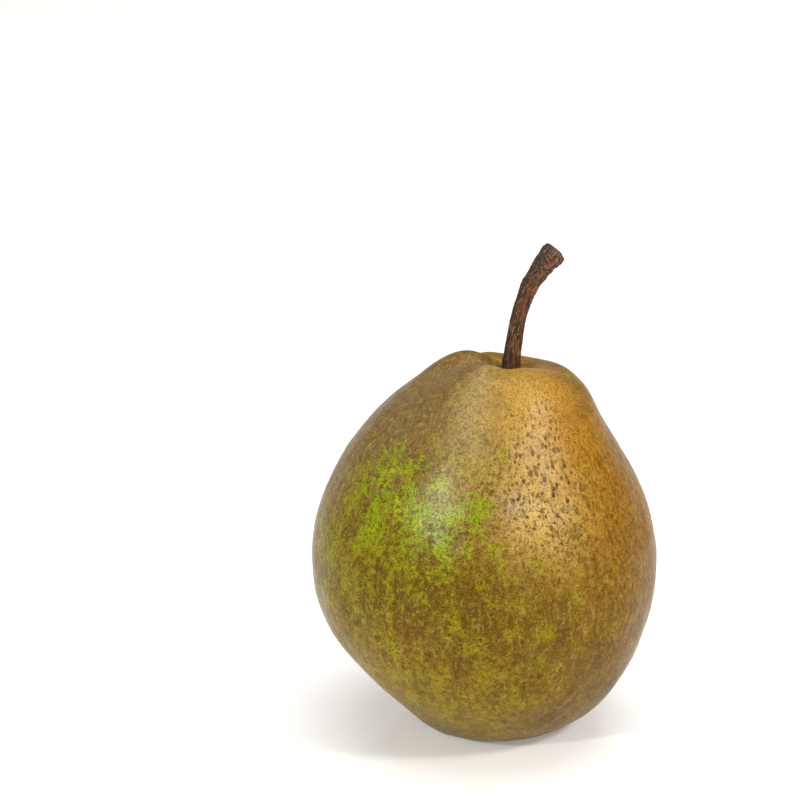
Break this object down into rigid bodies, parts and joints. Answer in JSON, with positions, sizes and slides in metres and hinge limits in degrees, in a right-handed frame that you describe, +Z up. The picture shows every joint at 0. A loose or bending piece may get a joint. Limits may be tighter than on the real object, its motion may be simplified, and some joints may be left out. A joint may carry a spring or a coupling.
{
  "type": "pear",
  "caption": "Squat russeted dessert pear that stands on its base, with a bent woody stem and a dried calyx in the basin underneath.",
  "frame": {"origin": "on the surface that the pear stands on, under the middle of its bounding box", "axes": "+Z up towards the stem; +X to the right and +Y away from the face that the picture shows"},
  "size_m": [0.0848, 0.0842, 0.1229],
  "materials": {
    "skin": null,
    "stem_wood": "rough dark brown bark with pale specks",
    "dried_calyx": "matt, dry and nearly black"
  },
  "bodies": {
    "root": {"fruit": "skin", "stem": "stem_wood", "calyx": "dried_calyx"}
  },
  "joints": []
}
